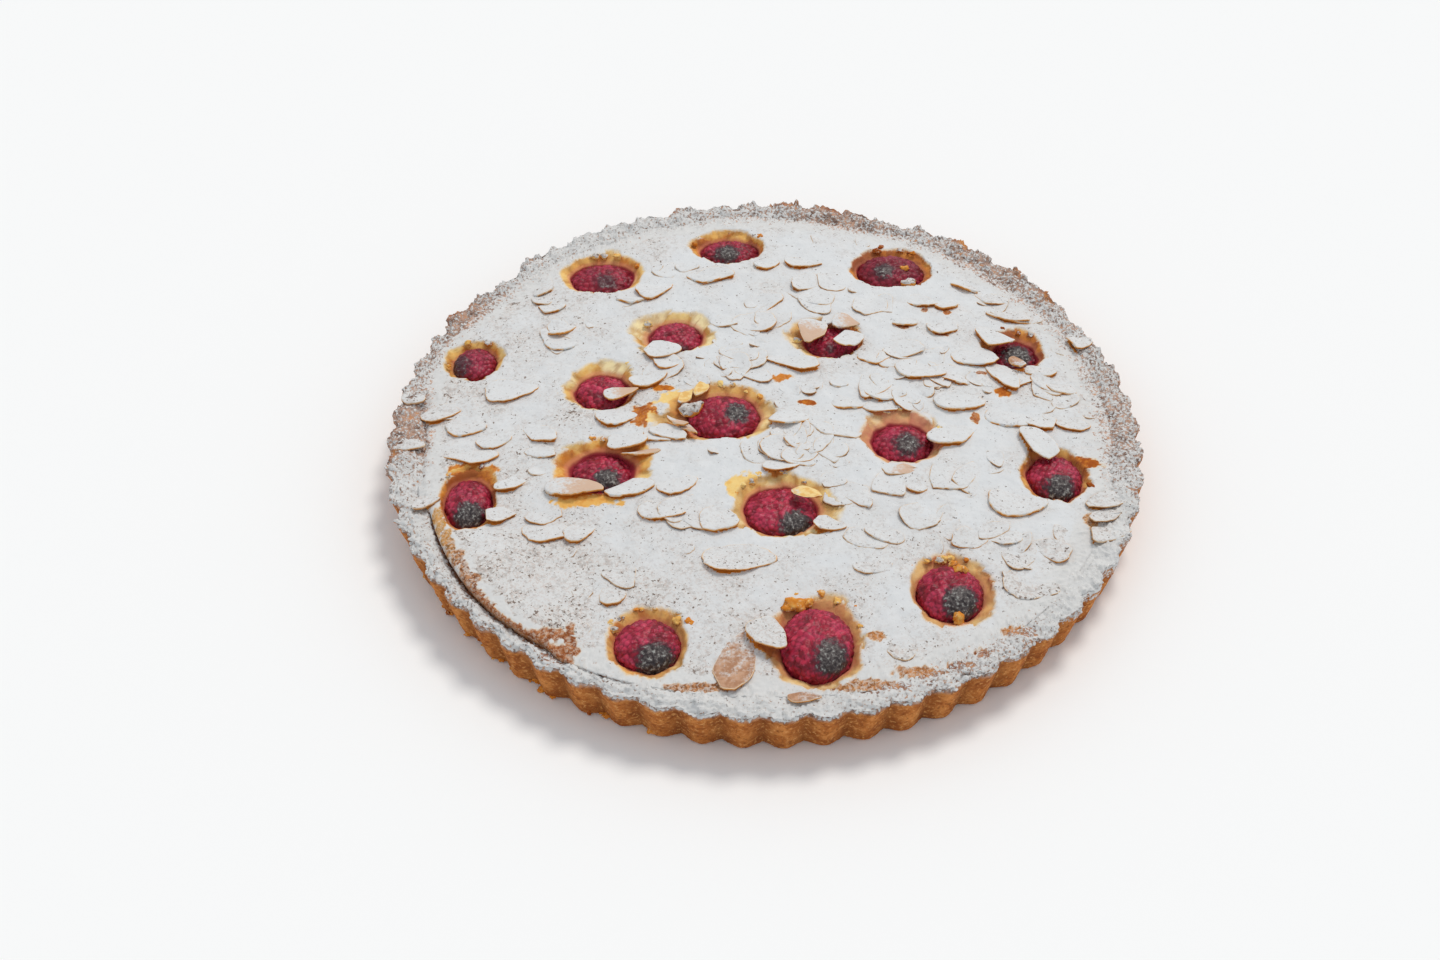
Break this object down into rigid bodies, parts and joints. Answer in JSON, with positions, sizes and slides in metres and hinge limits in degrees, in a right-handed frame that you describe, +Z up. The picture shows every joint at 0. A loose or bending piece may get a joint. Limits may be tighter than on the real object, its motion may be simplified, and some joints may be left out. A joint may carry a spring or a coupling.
{
  "type": "almond tart",
  "caption": "Round fluted shortcrust tart with a domed sugar-dusted almond filling, sunken raspberries and flaked almonds.",
  "frame": {"origin": "middle of the tart's flat base, on the surface it rests on", "axes": "+Z up through the tart; -Y towards the side shown in front; +X to the right as seen from there"},
  "size_m": [0.2627, 0.2619, 0.0289],
  "materials": {
    "crust": "baked, sandy, golden brown, dusted with icing sugar on the rim",
    "filling": "icing sugar over baked almond filling, matt",
    "berry": "baked raspberry, moist"
  },
  "bodies": {
    "root": {"crust": "crust", "filling": "filling", "berry_01": "berry", "berry_02": "berry", "berry_03": "berry", "berry_04": "berry", "berry_05": "berry", "berry_06": "berry", "berry_07": "berry", "berry_08": "berry", "berry_09": "berry", "berry_10": "berry", "berry_11": "berry", "berry_12": "berry", "berry_13": "berry", "berry_14": "berry", "berry_15": "berry", "berry_16": "berry", "berry_17": "berry"}
  },
  "joints": []
}
